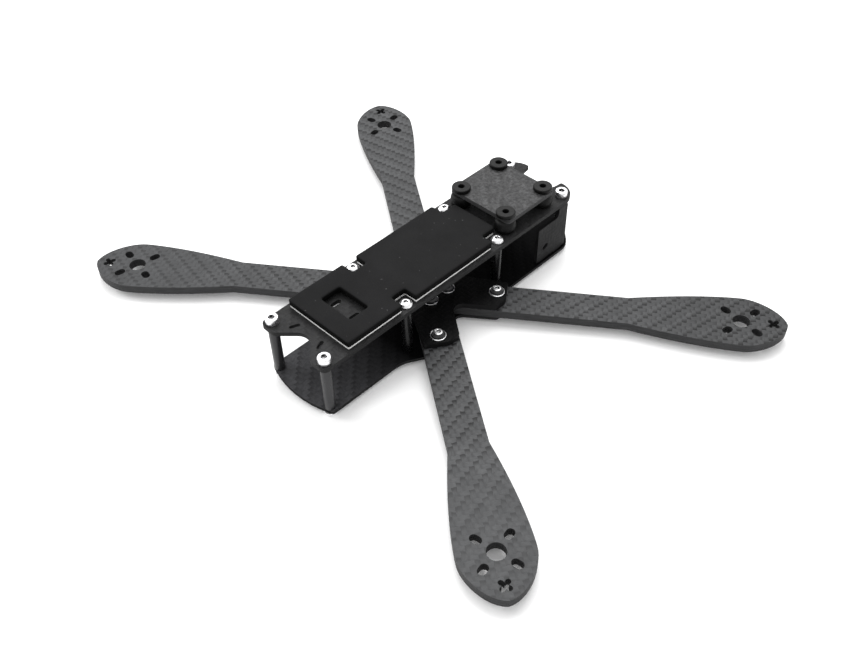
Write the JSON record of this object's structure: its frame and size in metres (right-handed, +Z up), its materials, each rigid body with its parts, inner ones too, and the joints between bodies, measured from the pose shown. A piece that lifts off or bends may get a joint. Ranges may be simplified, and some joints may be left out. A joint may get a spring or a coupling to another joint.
{
  "type": "quadcopter frame",
  "caption": "Flat carbon quadcopter frame with four wide-tipped arms, a raised top deck with a battery pad, and a small camera plate floating on rubber dampers.",
  "frame": {"origin": "on the middle line, under the frame's centre, level with the screw heads that it rests on", "axes": "+X to the right side, +Y forward to the camera plate, +Z up"},
  "size_m": [0.2566, 0.19, 0.04],
  "materials": {
    "carbon_twill": "twill-woven carbon plate, satin resin",
    "carbon_black": "darker carbon plate, satin resin",
    "anodised_black": "black anodised, turned",
    "steel": "bright zinc-plated steel",
    "rubber": "moulded black silicone rubber",
    "foam": "matt black foam sheet",
    "white_tape": "white double-sided foam tape"
  },
  "bodies": {
    "frame": {"bottom_plate": "carbon_black", "arm_clamp_plate": "carbon_black", "arm_front_right": "carbon_twill", "arm_rear_right": "carbon_twill", "arm_rear_left": "carbon_twill", "arm_front_left": "carbon_twill", "top_plate": "carbon_twill", "pad_tape": "white_tape", "battery_pad": "foam", "camera_cheek_right": "carbon_twill", "camera_cheek_left": "carbon_twill", "damper_rear_right": "rubber", "damper_rear_left": "rubber", "damper_front_right": "rubber", "damper_front_left": "rubber", "post_rear_right": "anodised_black", "top_screw_rear_right": "steel", "bottom_screw_rear_right": "steel", "post_rear_left": "anodised_black", "top_screw_rear_left": "steel", "bottom_screw_rear_left": "steel", "post_mid_rear_right": "anodised_black", "top_screw_mid_rear_right": "steel", "bottom_screw_mid_rear_right": "steel", "post_mid_rear_left": "anodised_black", "top_screw_mid_rear_left": "steel", "bottom_screw_mid_rear_left": "steel", "post_mid_front_right": "anodised_black", "top_screw_mid_front_right": "steel", "bottom_screw_mid_front_right": "steel", "post_mid_front_left": "anodised_black", "top_screw_mid_front_left": "steel", "bottom_screw_mid_front_left": "steel", "post_front_right": "anodised_black", "top_screw_front_right": "steel", "bottom_screw_front_right": "steel", "post_front_left": "anodised_black", "top_screw_front_left": "steel", "bottom_screw_front_left": "steel", "arm_washer_outer_front_right": "steel", "arm_bolt_outer_front_right": "steel", "arm_washer_outer_front_left": "steel", "arm_bolt_outer_front_left": "steel", "arm_washer_outer_rear_left": "steel", "arm_bolt_outer_rear_left": "steel", "arm_washer_outer_rear_right": "steel", "arm_bolt_outer_rear_right": "steel", "arm_washer_inner_front_right": "steel", "arm_bolt_inner_front_right": "steel", "arm_washer_inner_front_left": "steel", "arm_bolt_inner_front_left": "steel", "arm_washer_inner_rear_left": "steel", "arm_bolt_inner_rear_left": "steel", "arm_washer_inner_rear_right": "steel", "arm_bolt_inner_rear_right": "steel"},
    "camera_mount": {"camera_plate": "carbon_twill"}
  },
  "joints": [
    {"name": "camera_plate_float", "type": "slide", "parent": "frame", "child": "camera_mount", "axis": [0, 0, 1], "range_m": [-0.002, 0.001], "stiffness_N_per_m": 900, "deforming": ["damper_rear_right", "damper_rear_left", "damper_front_right", "damper_front_left"]}
  ]
}
